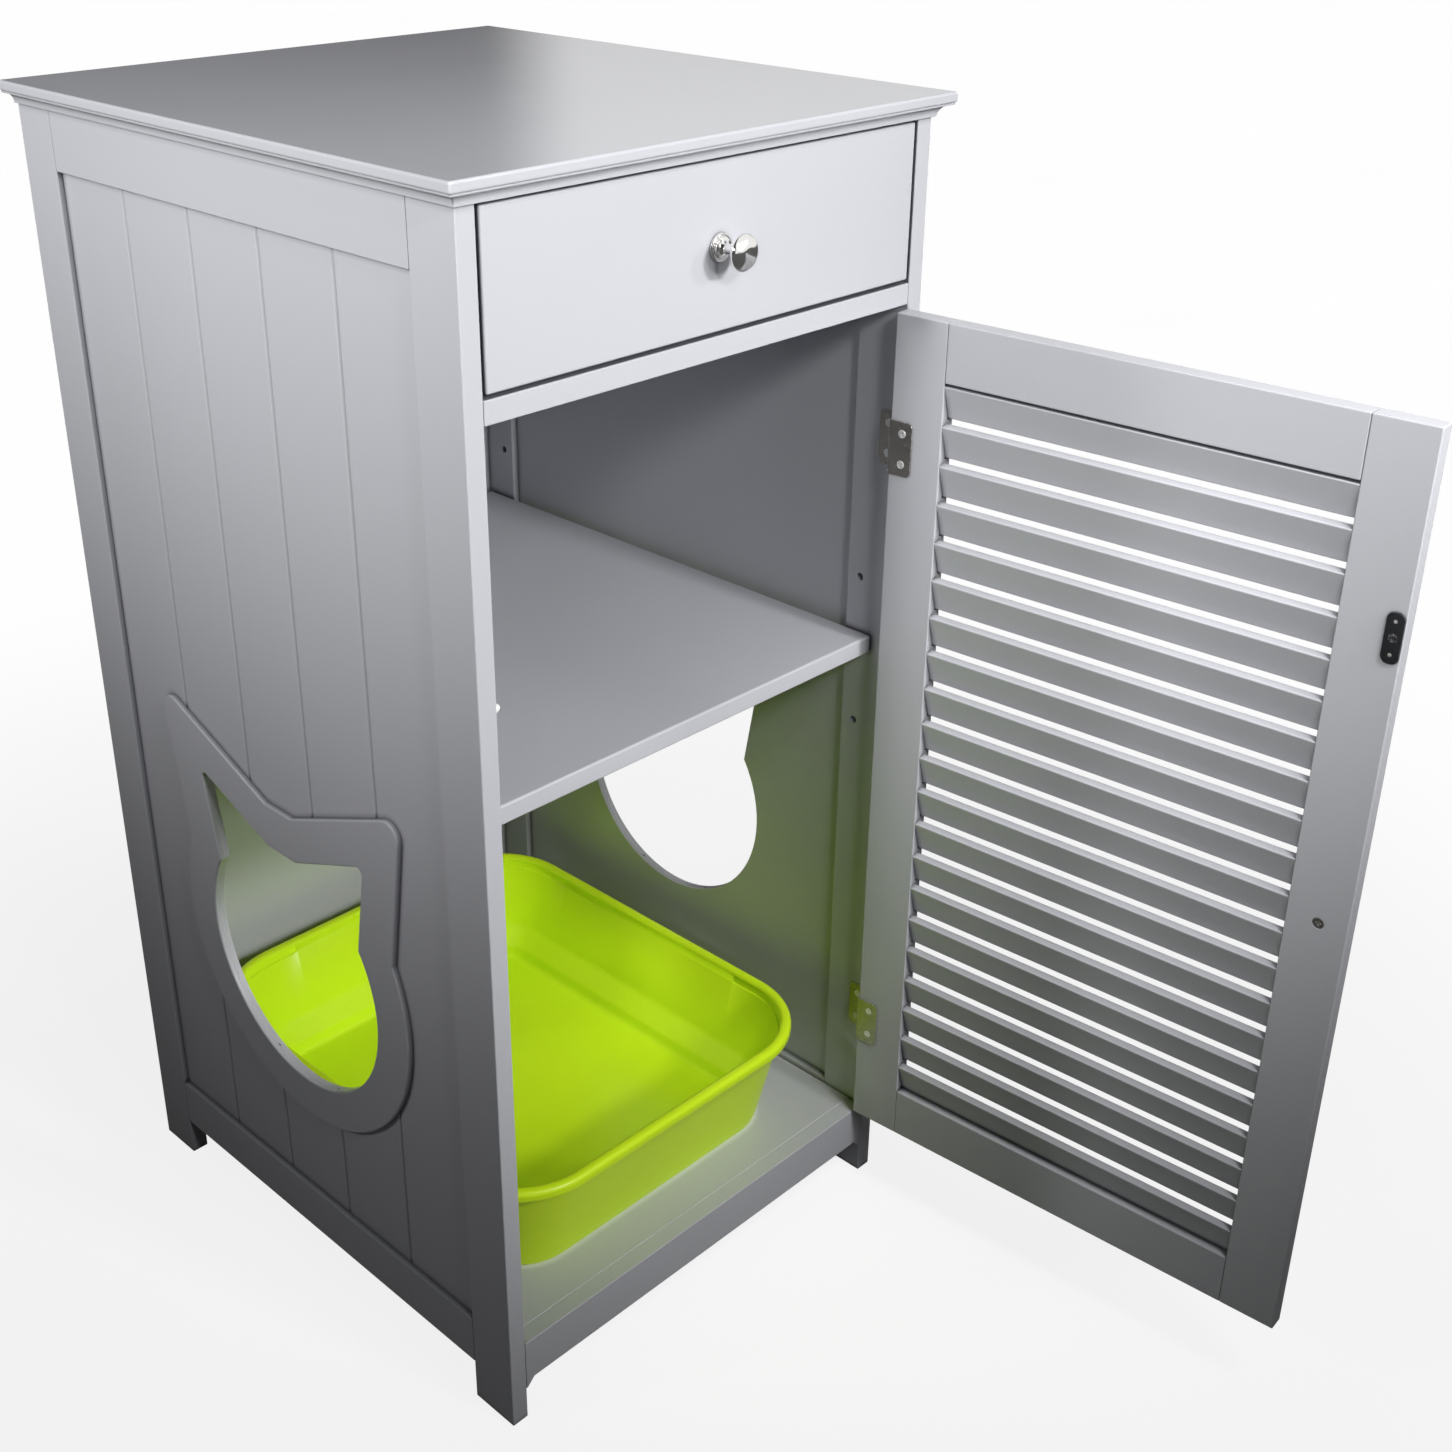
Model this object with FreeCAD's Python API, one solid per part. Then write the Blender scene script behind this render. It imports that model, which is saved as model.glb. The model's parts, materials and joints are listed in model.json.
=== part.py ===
import FreeCAD, Part
import math
import os

from FreeCAD import Vector

# Litter box enclosure: a tall louvred-door cabinet with a cat-face opening in each side,
# a drawer at the top, one adjustable shelf and a loose litter pan on the floor board.
# X runs to the right seen from the front, Y to the back, Z up. The origin is on the floor,
# in the middle of the footprint of the four legs. The door stands open as a used cabinet's does.

# Carcass
cabinet_width = 406.0  # over the two side frames
cabinet_depth = 468.0
cabinet_height = 900.0
frame_stock = 14.0  # thickness of stiles, rails, shelf and floor board
arris = 0.8  # rounded edge of painted timber
front_arris = 1.6  # on the drawer front and the shelf
front_stile_width = 42.0
back_stile_width = 41.0
side_top_rail_height = 50.0
side_bottom_rail_height = 41.0
leg_clearance = 34.0  # under the rails and the apron
panel_thickness = 4.0
panel_recess = 4.3  # panel face behind the frame's outer face
groove_depth = 7.0
groove_end_gap = 0.5
board_count = 5  # beaded boards across each side panel
bead_width = 4.0
bead_depth = 1.2

# Top and cornice
top_thickness = 7.0
top_overhang = 12.0
top_arris = 1.6
cornice_height = 9.0
cornice_reach = 10.5
cornice_foot = 2.2
cornice_lip = 1.4
cove_depth = 2.4

# Cat-face opening and its trim, in each side
face_centre_height = 290.0
face_radius = 102.0
cheek_half_width = 86.0
ear_half_span = 99.5
ear_tip_height = 419.0
ear_tip_radius = 4.5
brow_half_width = 17.0
brow_height = 386.5
trim_centre_height = 293.0
trim_radius = 138.0
trim_cheek_half_width = 125.7
trim_ear_half_span = 145.5
trim_ear_tip_height = 475.0
trim_ear_tip_radius = 12.0
trim_brow_half_width = 16.0
trim_brow_height = 422.5
trim_arris = 1.4

# Front
apron_height = 36.5
bracket_width = 8.0  # 45 degree corner pieces where the apron meets the legs
drawer_rail_height = 15.0
drawer_front_height = 105.0
drawer_top_gap = 1.5
drawer_bottom_gap = 2.5
drawer_side_gap = 2.4
dowel_radius = 2.5
dowel_in_stile = 8.0
dowel_in_rail = 14.0

# Drawer box
drawer_front_thickness = 14.0
drawer_back_gap = 24.0  # drawer box to the back rail
drawer_side_thickness = 10.0
drawer_side_height = 84.0
drawer_bottom_thickness = 4.0
drawer_bottom_rise = 8.0  # lower edge of the side to the bottom board
drawer_groove = 5.0
runner_width = 14.0
runner_gap = 0.3

# Door
door_thickness = 13.0
door_hinge_gap = 1.8
door_free_gap = 1.2
door_end_gap = 2.5  # above and below the door
door_stile_width = 42.0
door_rail_height = 42.0
door_tenon_length = 20.0
door_tenon_thickness = 5.0
door_tenon_shoulder = 6.0
door_open_angle = 94.0
slat_width = 25.2
slat_thickness = 6.0
slat_tilt = 73.0  # from the horizontal
slat_spacing = 28.7
slat_end_gap = 0.5
slat_arris = 0.9
slat_tenon_length = 5.0
slat_tenon_width = 18.0
slat_tenon_thickness = 3.0
slot_end_radius = 1.0  # small hole in the stile at the low end of each slat
slot_end_depth = 2.5

# Hinges
hinge_inset = 96.0  # door end to the middle of the hinge
hinge_height = 40.0
hinge_axis_gap = 0.9  # door edge to the pin's axis
leaf_thickness = 0.7
leaf_width = 18.5
leaf_corner = 4.0
knuckle_radius = 1.9
knuckle_gap = 0.2
knuckle_clearance = 0.3
pin_radius = 1.0
pin_clearance = 0.05
hinge_screw_spacing = 22.6
hinge_screw_from_edge = 10.3

# Screws
screw_shank_radius = 1.5
screw_head_radius = 3.0
screw_head_height = 1.5
screw_length = 10.0
screw_fit = 0.03
cross_length = 3.4
cross_width = 0.8
cross_depth = 0.9

# Knobs
knob_foot_radius = 9.0
knob_foot_height = 2.4
knob_foot_bevel = 1.0
knob_collar_radius = 6.6
knob_collar_height = 1.4
knob_collar_bevel = 0.6
knob_neck_radius = 3.2
knob_neck_length = 14.1
knob_neck_flare = 1.0
knob_head_radius = 11.8
knob_head_height = 9.0
knob_head_steps = 14
knob_screw_radius = 2.0
knob_screw_head_radius = 3.4
knob_screw_head_height = 2.0
knob_screw_reach = 9.0  # length of thread inside the knob
knob_recess_radius = 4.0
knob_recess_depth = 2.6
door_knob_from_free_edge = 20.0

# Shelf and its pins
shelf_front_gap = 16.0
shelf_side_gap = 1.0
shelf_back_gap = 3.0
pin_first_height = 428.0
pin_level_spacing = 60.0
pin_levels = 3
pin_level_in_use = 1
pin_from_edge = 30.0
shelf_pin_radius = 2.5
shelf_pin_length = 8.0
pin_hole_radius = 3.0
pin_hole_depth = 9.0
seat_gap = 0.05

# Door stop, magnet catch and strike plate
stop_from_door_top = 184.0
stop_radius = 4.0
stop_length = 16.0
stop_shank_radius = 2.5
stop_shank_length = 8.0
stop_door_gap = 0.5
strike_from_door_top = 133.0
strike_width = 11.5
strike_height = 34.0
strike_thickness = 1.2
strike_from_free_edge = 6.4
strike_dimple_radius = 1.3
strike_dimple_spacing = 22.0
catch_gap = 0.3
catch_reach = 11.5
catch_depth = 15.0
catch_height = 32.0
catch_ear = 9.0
catch_ear_thickness = 2.0
catch_ear_width = 10.5
pole_plate_thickness = 1.2
pole_plate_proud = 0.4
magnet_set_back = 0.8  # behind the faces of the pole plates
magnet_thickness = 4.0
magnet_depth = 10.5
magnet_height = 22.4

# Floor
floor_cleat = 12.0

# Litter pan
pan_height = 95.0
pan_left_gap = 7.0  # the pan stands a little left of the middle
pan_right_gap = 26.0
pan_front_gap = 20.0
pan_back_gap = 24.0  # to the back rail
pan_corner = 73.0
pan_wall = 2.5
pan_base_inset = 28.0
pan_cove = 22.0  # inner radius between wall and floor
pan_foot_height = 11.0
pan_lip_width = 6.0
pan_lip_height = 8.0
pan_seat_gap = 0.2

# Places that follow from the sizes
half_width = cabinet_width / 2
inner_half = half_width - frame_stock
front_y = -cabinet_depth / 2
back_y = cabinet_depth / 2
under_top = cabinet_height - top_thickness
bay_y0 = front_y + front_stile_width
bay_y1 = back_y - back_stile_width
panel_out = half_width - panel_recess
panel_in = panel_out - panel_thickness
bottom_rail_top = leg_clearance + side_bottom_rail_height
top_rail_bottom = under_top - side_top_rail_height
tongue = groove_depth - groove_end_gap
back_panel_y1 = back_y - panel_recess
back_panel_y0 = back_panel_y1 - panel_thickness
back_rail_y0 = back_y - frame_stock
apron_top = leg_clearance + apron_height
front_rail_bottom = under_top - cornice_height
drawer_z1 = front_rail_bottom - drawer_top_gap
drawer_z0 = drawer_z1 - drawer_front_height
drawer_rail_z1 = drawer_z0 - drawer_bottom_gap
drawer_rail_z0 = drawer_rail_z1 - drawer_rail_height
door_z0 = apron_top + door_end_gap
door_z1 = drawer_rail_z0 - door_end_gap
door_hinge_x = inner_half - door_hinge_gap
door_free_x = -inner_half + door_free_gap
door_inner_y = front_y + door_thickness
hinge_x = door_hinge_x + hinge_axis_gap
hinge_y = front_y
hinge_heights = [door_z0 + hinge_inset, door_z1 - hinge_inset]
stop_height = door_z1 - stop_from_door_top
strike_centre_height = door_z1 - strike_from_door_top
strike_x = door_free_x + strike_from_free_edge
catch_y0 = door_inner_y + strike_thickness + catch_gap
cat_y = (bay_y0 + bay_y1) / 2
shelf_pin_height = pin_first_height + pin_level_in_use * pin_level_spacing
shelf_bottom = shelf_pin_height + shelf_pin_radius + seat_gap
pin_rows = [front_y + pin_from_edge, back_y - pin_from_edge]
up = Vector(0, 0, 1)
right = Vector(1, 0, 0)
back = Vector(0, 1, 0)


def box(x0, x1, y0, y1, z0, z1):
    return Part.makeBox(x1 - x0, y1 - y0, z1 - z0, Vector(x0, y0, z0))


def eased(shape, radius=arris):
    return shape.makeFillet(radius, shape.Edges)


def rod(radius, start, direction, length):
    return Part.makeCylinder(radius, length, start, direction)


def mirrored(shape):
    return shape.mirror(Vector(0, 0, 0), right)


def on_side(side, shape):
    return shape if side > 0 else mirrored(shape)


def prism(points, direction):
    face = Part.Face(Part.makePolygon(points + points[:1]))
    return face.extrude(direction)


def corner_edges(corners):
    """Edges of an open path through corners (point, radius), rounded where the radius is set."""
    edges = []
    last = corners[0][0]
    for before, here, after in zip(corners, corners[1:], corners[2:]):
        point, radius = here
        if radius == 0:
            edges.append(Part.makeLine(last, point))
            last = point
            continue
        back_way = (before[0] - point).normalize()
        on_way = (after[0] - point).normalize()
        half = back_way.getAngle(on_way) / 2
        start = point + back_way * (radius / math.tan(half))
        end = point + on_way * (radius / math.tan(half))
        middle = point + (back_way + on_way).normalize() * (radius / math.sin(half) - radius)
        edges.append(Part.makeLine(last, start))
        edges.append(Part.Arc(start, middle, end).toShape())
        last = end
    edges.append(Part.makeLine(last, corners[-1][0]))
    return edges


def rounded_rectangle(x0, x1, y0, y1, radius, z):
    middle_x = (x0 + x1) / 2
    start = Vector(middle_x, y0, z)
    corners = [(start, 0)]
    for x, y in ((x1, y0), (x1, y1), (x0, y1), (x0, y0)):
        corners.append((Vector(x, y, z), radius))
    corners.append((start, 0))
    return Part.Wire(corner_edges(corners))


def revolved(profile, centre, direction):
    """Solid turned from (radius, height) stations, standing on centre along direction."""
    points = [Vector(0, 0, profile[0][1])]
    points += [Vector(radius, 0, height) for radius, height in profile]
    points.append(Vector(0, 0, profile[-1][1]))
    face = Part.Face(Part.makePolygon(points + points[:1]))
    solid = face.revolve(Vector(0, 0, 0), up, 360)
    solid.Placement = FreeCAD.Placement(centre, FreeCAD.Rotation(up, direction))
    return solid


def screw_blank(seat, direction, extra=0.0):
    """Countersunk screw whose head is flush at seat and whose shank runs along direction."""
    head = Part.makeCone(
        screw_head_radius + extra, screw_shank_radius + extra, screw_head_height, seat, direction)
    return head.fuse(rod(screw_shank_radius + extra, seat, direction, screw_length)).removeSplitter()


def cross_recess(seat, direction):
    turn = FreeCAD.Rotation(up, direction)
    arms = []
    for length, width in ((cross_length, cross_width), (cross_width, cross_length)):
        arm = box(-length / 2, length / 2, -width / 2, width / 2, 0, cross_depth)
        arm.Placement = FreeCAD.Placement(seat, turn)
        arms.append(arm)
    return arms[0].fuse(arms[1])


def screw(seat, direction):
    return screw_blank(seat, direction).cut(cross_recess(seat, direction))


def drilled(shape, seats, direction):
    for seat in seats:
        shape = shape.cut(screw_blank(seat, direction, screw_fit))
    return shape


# Side frames, built on the right and mirrored for the left

def side_stile(y0, y1, groove_y0):
    stile = eased(box(inner_half, half_width, y0, y1, 0, under_top))
    groove = box(panel_in, panel_out, groove_y0, groove_y0 + groove_depth, leg_clearance, under_top)
    stile = stile.cut(groove)
    for y in pin_rows:
        if y0 < y < y1:
            for level in range(pin_levels):
                z = pin_first_height + level * pin_level_spacing
                stile = stile.cut(rod(pin_hole_radius, Vector(inner_half, y, z), right, pin_hole_depth))
    return stile


def dowel_places():
    middle_y = front_y + frame_stock / 2
    heights = [
        (leg_clearance + apron_top) / 2,
        (drawer_rail_z0 + drawer_rail_z1) / 2,
        (front_rail_bottom + under_top) / 2,
    ]
    return [Vector(inner_half, middle_y, z) for z in heights]


def dowel_holes(side, extra):
    holes = []
    for place in dowel_places():
        start = place - right * dowel_in_rail
        hole = rod(dowel_radius + extra, start, right, dowel_in_rail + dowel_in_stile)
        holes.append(on_side(side, hole))
    return holes


def front_stile(side):
    stile = side_stile(front_y, bay_y0, bay_y0 - groove_depth)
    stile = on_side(side, stile)
    for hole in dowel_holes(side, screw_fit):
        stile = stile.cut(hole)
    return stile


def right_front_stile():
    stile = front_stile(1)
    for z in hinge_heights:
        pocket = rod(
            knuckle_radius + knuckle_clearance, Vector(hinge_x, hinge_y, z - hinge_height / 2),
            up, hinge_height)
        stile = stile.cut(pocket)
    return drilled(stile, frame_screw_seats(), right)


def left_front_stile():
    stile = front_stile(-1)
    stop_hole = rod(stop_shank_radius + screw_fit, stop_place(), -right, stop_shank_length)
    return drilled(stile.cut(stop_hole), catch_screw_seats(), -right)


def back_stile(side):
    stile = side_stile(bay_y1, back_y, bay_y1)
    back_groove = box(
        inner_half, inner_half + groove_depth, back_panel_y0, back_panel_y1, leg_clearance, under_top)
    return on_side(side, stile.cut(back_groove))


def side_top_rail(side):
    rail = eased(box(inner_half, half_width, bay_y0, bay_y1, top_rail_bottom, under_top))
    tenon = box(
        panel_in, panel_out, bay_y0 - tongue, bay_y1 + tongue,
        top_rail_bottom + groove_depth, under_top - arris)
    groove = box(panel_in, panel_out, bay_y0, bay_y1, top_rail_bottom, top_rail_bottom + groove_depth)
    return on_side(side, rail.fuse(tenon).cut(groove))


def side_bottom_rail(side):
    rail = eased(box(inner_half, half_width, bay_y0, bay_y1, leg_clearance, bottom_rail_top))
    tenon = box(
        panel_in, panel_out, bay_y0 - tongue, bay_y1 + tongue,
        leg_clearance + arris, bottom_rail_top - groove_depth)
    groove = box(panel_in, panel_out, bay_y0, bay_y1, bottom_rail_top - groove_depth, bottom_rail_top)
    return on_side(side, rail.fuse(tenon).cut(groove))


def cat_outline(x, centre_z, radius, cheek, ear, ear_z, ear_radius, brow, brow_z):
    def place(u, z):
        return Vector(x, cat_y + u, z)

    cheek_z = centre_z + math.sqrt(radius ** 2 - cheek ** 2)
    corners = [
        (place(cheek, cheek_z), 0), (place(ear, ear_z), ear_radius), (place(brow, brow_z), 0),
        (place(-brow, brow_z), 0), (place(-ear, ear_z), ear_radius), (place(-cheek, cheek_z), 0)]
    jaw = Part.Arc(place(-cheek, cheek_z), place(0, centre_z - radius), place(cheek, cheek_z))
    return Part.Face(Part.Wire(corner_edges(corners) + [jaw.toShape()]))


def cat_hole(x):
    return cat_outline(
        x, face_centre_height, face_radius, cheek_half_width, ear_half_span, ear_tip_height,
        ear_tip_radius, brow_half_width, brow_height)


def side_panel(side):
    panel = box(
        panel_in, panel_out, bay_y0 - tongue, bay_y1 + tongue,
        bottom_rail_top - tongue, top_rail_bottom + tongue)
    board_width = (bay_y1 - bay_y0) / board_count
    for joint in range(1, board_count):
        y = bay_y0 + joint * board_width
        bead = prism(
            [Vector(panel_out - bead_depth, y, bottom_rail_top),
             Vector(panel_out, y - bead_width / 2, bottom_rail_top),
             Vector(panel_out, y + bead_width / 2, bottom_rail_top)],
            up * (top_rail_bottom - bottom_rail_top))
        panel = panel.cut(bead)
    opening = cat_hole(panel_in).extrude(right * panel_thickness)
    return on_side(side, panel.cut(opening))


def cat_trim(side):
    outer = cat_outline(
        panel_out, trim_centre_height, trim_radius, trim_cheek_half_width, trim_ear_half_span,
        trim_ear_tip_height, trim_ear_tip_radius, trim_brow_half_width, trim_brow_height)
    ring = outer.extrude(right * panel_recess).cut(cat_hole(panel_out).extrude(right * panel_recess))
    rim = [edge for edge in ring.Edges if edge.BoundBox.XMin > half_width - arris]
    return on_side(side, ring.makeFillet(trim_arris, rim))


# Back, top and cornice

def back_rail(z0, z1, panel_edge):
    rail = eased(box(-inner_half, inner_half, back_rail_y0, back_y, z0, z1))
    tenon_z0 = z0 + (groove_depth if panel_edge == z0 else arris)
    tenon_z1 = z1 - (groove_depth if panel_edge == z1 else arris)
    reach = inner_half + tongue
    tenon = box(-reach, reach, back_panel_y0, back_panel_y1, tenon_z0, tenon_z1)
    slot_z0 = z0 if panel_edge == z0 else z1 - groove_depth
    slot = box(-inner_half, inner_half, back_panel_y0, back_panel_y1, slot_z0, slot_z0 + groove_depth)
    return rail.fuse(tenon).cut(slot)


def back_panel():
    reach = inner_half + tongue
    return box(
        -reach, reach, back_panel_y0, back_panel_y1,
        bottom_rail_top - tongue, top_rail_bottom + tongue)


def top_board():
    reach = half_width + top_overhang
    board = box(-reach, reach, front_y - top_overhang, back_y, under_top, cabinet_height)
    return eased(board, top_arris)


def cornice_section(start, outward):
    """Cove moulding section at start on the carcass corner, leaning to outward."""
    low = start + outward * cornice_foot
    high = start + outward * cornice_reach + up * (cornice_height - cornice_lip)
    bulge = (low + high) / 2 + (up - outward).normalize() * cove_depth
    top_out = start + outward * cornice_reach + up * cornice_height
    top_in = start + up * cornice_height
    edges = [
        Part.makeLine(start, low), Part.Arc(low, bulge, high).toShape(),
        Part.makeLine(high, top_out), Part.makeLine(top_out, top_in), Part.makeLine(top_in, start)]
    return Part.Face(Part.Wire(edges))


def mitred(shape, plan):
    height = up * cornice_height
    return shape.common(prism([Vector(x, y, front_rail_bottom) for x, y in plan], height))


def cornice_front():
    reach = half_width + cornice_reach
    face = cornice_section(Vector(-reach, front_y, front_rail_bottom), -back)
    plan = [
        (-half_width, front_y), (half_width, front_y),
        (reach, front_y - cornice_reach), (-reach, front_y - cornice_reach)]
    return mitred(face.extrude(right * 2 * reach), plan)


def cornice_side(side):
    nose_y = front_y - cornice_reach
    face = cornice_section(Vector(half_width, nose_y, front_rail_bottom), right)
    reach = half_width + cornice_reach
    plan = [(half_width, front_y), (reach, nose_y), (reach, back_y), (half_width, back_y)]
    return on_side(side, mitred(face.extrude(back * (back_y - nose_y)), plan))


# Front rails, floor and runners

def front_rail(z0, z1):
    rail = eased(box(-inner_half, inner_half, front_y, front_y + frame_stock, z0, z1))
    return with_dowel_holes(rail)


def with_dowel_holes(rail):
    for side in (1, -1):
        for hole in dowel_holes(side, screw_fit):
            rail = rail.cut(hole)
    return rail


def apron():
    corner = leg_clearance - bracket_width
    outline = [
        (-inner_half, apron_top), (-inner_half, corner), (-inner_half + bracket_width, leg_clearance),
        (inner_half - bracket_width, leg_clearance), (inner_half, corner), (inner_half, apron_top)]
    board = prism([Vector(x, front_y, z) for x, z in outline], back * frame_stock)
    return with_dowel_holes(eased(board))


def rail_dowels():
    return [hole for side in (1, -1) for hole in dowel_holes(side, 0.0)]


def floor_board():
    return eased(box(
        -inner_half, inner_half, front_y + frame_stock, back_rail_y0,
        apron_top - frame_stock, apron_top))


def floor_cleat_strip(side):
    top = apron_top - frame_stock
    strip = box(
        inner_half - floor_cleat, inner_half, front_y + frame_stock, back_rail_y0,
        top - floor_cleat, top)
    return on_side(side, strip)


def drawer_runner(side):
    strip = eased(box(
        inner_half - runner_width, inner_half, front_y + frame_stock, back_panel_y0,
        drawer_rail_z0 + arris, drawer_z0 - runner_gap))
    return on_side(side, strip)


# Shelf

def shelf():
    reach = inner_half - shelf_side_gap
    return eased(box(
        -reach, reach, front_y + shelf_front_gap, back_panel_y0 - shelf_back_gap,
        shelf_bottom, shelf_bottom + frame_stock), front_arris)


def shelf_pins():
    pins = []
    for side in (1, -1):
        for y in pin_rows:
            seat = Vector(inner_half, y, shelf_pin_height)
            peg = rod(shelf_pin_radius, seat - right * shelf_pin_length, right, shelf_pin_length)
            root_radius = pin_hole_radius - screw_fit
            root = rod(root_radius, seat, right, shelf_pin_length)
            pins.append(on_side(side, peg.fuse(root)))
    return pins


# Door, built closed and then turned open about its hinge axis

def opened(shape):
    turned = shape.copy()
    turned.rotate(Vector(hinge_x, hinge_y, 0), up, door_open_angle)
    return turned


def door_stile(x0, x1, tenon_x0):
    stile = eased(box(x0, x1, front_y, door_inner_y, door_z0, door_z1))
    for z0, z1 in door_tenon_heights():
        mortise = box(
            tenon_x0, tenon_x0 + door_tenon_length, door_tenon_y0(), door_tenon_y1(), z0, z1)
        stile = stile.cut(mortise)
    return stile


def door_tenon_y0():
    return front_y + (door_thickness - door_tenon_thickness) / 2


def door_tenon_y1():
    return door_tenon_y0() + door_tenon_thickness


def door_tenon_heights():
    shoulder = door_tenon_shoulder
    return [
        (door_z0 + shoulder, door_z0 + door_rail_height - shoulder),
        (door_z1 - door_rail_height + shoulder, door_z1 - shoulder)]


def inner_edges():
    """X of the two door stiles' inner edges, free side first."""
    return door_free_x + door_stile_width, door_hinge_x - door_stile_width


def door_rail(z0, tenon_z):
    x0, x1 = inner_edges()
    rail = eased(box(x0, x1, front_y, door_inner_y, z0, z0 + door_rail_height))
    reach = door_tenon_length - groove_end_gap
    return rail.fuse(box(x0 - reach, x1 + reach, door_tenon_y0(), door_tenon_y1(), *tenon_z))


def slat_heights():
    """Middle heights of the slats, evenly filling the space between the door rails."""
    tilt = math.radians(slat_tilt)
    tall = slat_width * math.sin(tilt) + slat_thickness * math.cos(tilt)
    low = door_z0 + door_rail_height + slat_end_gap + tall / 2
    high = door_z1 - door_rail_height - slat_end_gap - tall / 2
    steps = max(1, round((high - low) / slat_spacing))
    return [low + (high - low) * step / steps for step in range(steps + 1)]


def slat_block(x0, x1, width, thickness):
    return box(x0, x1, -width / 2, width / 2, -thickness / 2, thickness / 2)


def tilted(block, z):
    block.rotate(Vector(0, 0, 0), right, slat_tilt)
    block.translate(Vector(0, front_y + door_thickness / 2, z))
    return block


def slat_tenons(z, length):
    x0, x1 = inner_edges()
    return [
        tilted(slat_block(x0 - length, x0, slat_tenon_width, slat_tenon_thickness), z),
        tilted(slat_block(x1, x1 + length, slat_tenon_width, slat_tenon_thickness), z)]


def louvre_slats():
    x0, x1 = inner_edges()
    slats = []
    for z in slat_heights():
        blade = slat_block(x0, x1, slat_width, slat_thickness)
        long_edges = [edge for edge in blade.Edges if edge.BoundBox.XLength > slat_width]
        blade = tilted(blade.makeFillet(slat_arris, long_edges), z)
        slats.append(blade.fuse(slat_tenons(z, slat_tenon_length - groove_end_gap)))
    return slats


def slot_end(x, direction, z):
    """Hole at the low inner corner of the slat at height z, going into the stile from x."""
    corner = Vector(x, -slat_width / 2, -slat_thickness / 2)
    return tilted(rod(slot_end_radius, corner, direction, slot_end_depth), z)


def with_slat_slots(stile, which):
    x = inner_edges()[which]
    direction = (-right, right)[which]
    for z in slat_heights():
        stile = stile.cut([slat_tenons(z, slat_tenon_length)[which], slot_end(x, direction, z)])
    return stile


def door_free_stile():
    x0 = door_free_x
    x1 = x0 + door_stile_width
    stile = with_slat_slots(door_stile(x0, x1, x1 - door_tenon_length), 0)
    stile = stile.cut(knob_bore(door_knob_place(), back, door_thickness))
    return drilled(stile, [strike_screw_seat()], -back)


def door_hinge_stile():
    x1 = door_hinge_x
    x0 = x1 - door_stile_width
    stile = with_slat_slots(door_stile(x0, x1, x0), 1)
    for z in hinge_heights:
        pocket = rod(
            knuckle_radius + knuckle_clearance, Vector(hinge_x, hinge_y, z - hinge_height / 2),
            up, hinge_height)
        stile = stile.cut(pocket)
    return drilled(stile, door_screw_seats(), -back)


# Hinges: each has a leaf on the right stile, a wrap-around leaf on the door, and a pin

def frame_screw_seats():
    y = front_y + hinge_screw_from_edge
    return [
        Vector(inner_half - leaf_thickness, y, z + side * hinge_screw_spacing / 2)
        for z in hinge_heights for side in (-1, 1)]


def door_screw_seats():
    x = door_hinge_x - hinge_screw_from_edge
    y = door_inner_y + leaf_thickness
    return [
        Vector(x, y, z + side * hinge_screw_spacing / 2)
        for z in hinge_heights for side in (-1, 1)]


def knuckle_spans(z):
    """Lower, middle and upper knuckle of a hinge centred at z."""
    third = hinge_height / 3
    low = z - hinge_height / 2
    return [(low, low + third - knuckle_gap), (low + third, low + 2 * third),
            (low + 2 * third + knuckle_gap, low + hinge_height)]


def knuckle(span, bore_radius):
    z0, z1 = span
    foot = Vector(hinge_x, hinge_y, z0)
    return rod(knuckle_radius, foot, up, z1 - z0), rod(bore_radius, foot, up, z1 - z0)


def clear_of_knuckle(span):
    z0, z1 = span
    foot = Vector(hinge_x, hinge_y, z0 - knuckle_gap)
    return rod(knuckle_radius + knuckle_clearance, foot, up, z1 - z0 + 2 * knuckle_gap)


def rounded_plate(plate, at_y=None, at_x=None):
    """Round the plate's two free corners, found by where they stand."""
    edges = []
    for edge in plate.Edges:
        middle = edge.CenterOfMass
        if at_y is not None and edge.BoundBox.XLength > leaf_thickness / 2:
            if abs(middle.y - at_y) < arris and edge.BoundBox.YLength < arris:
                edges.append(edge)
        if at_x is not None and edge.BoundBox.YLength > leaf_thickness / 2:
            if abs(middle.x - at_x) < arris and edge.BoundBox.XLength < arris:
                edges.append(edge)
    return plate.makeFillet(leaf_corner, edges)


def frame_leaf(z):
    low, middle, high = knuckle_spans(z)
    far_y = front_y + leaf_width
    leaf = box(
        inner_half - leaf_thickness, inner_half, front_y, far_y,
        z - hinge_height / 2, z + hinge_height / 2)
    leaf = rounded_plate(leaf, at_y=far_y).cut(clear_of_knuckle(middle))
    bores = []
    for span in (low, high):
        tube, bore = knuckle(span, pin_radius + screw_fit)
        leaf = leaf.fuse(tube)
        bores.append(bore)
    leaf = leaf.cut(bores)
    seats = [seat for seat in frame_screw_seats() if abs(seat.z - z) < hinge_height]
    return drilled(leaf, seats, right)


def door_leaf(z):
    low, middle, high = knuckle_spans(z)
    z0 = z - hinge_height / 2
    z1 = z + hinge_height / 2
    edge_x = door_hinge_x + leaf_thickness
    far_x = door_hinge_x - leaf_width
    plate = box(far_x, edge_x, door_inner_y, door_inner_y + leaf_thickness, z0, z1)
    wrap = box(door_hinge_x, edge_x, front_y, door_inner_y + leaf_thickness, z0, z1)
    leaf = rounded_plate(plate, at_x=far_x).fuse(wrap)
    leaf = leaf.cut([clear_of_knuckle(low), clear_of_knuckle(high)])
    tube, bore = knuckle(middle, pin_radius + pin_clearance)
    leaf = leaf.fuse(tube).cut(bore).removeSplitter()
    seats = [seat for seat in door_screw_seats() if abs(seat.z - z) < hinge_height]
    return drilled(leaf, seats, -back)


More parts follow.
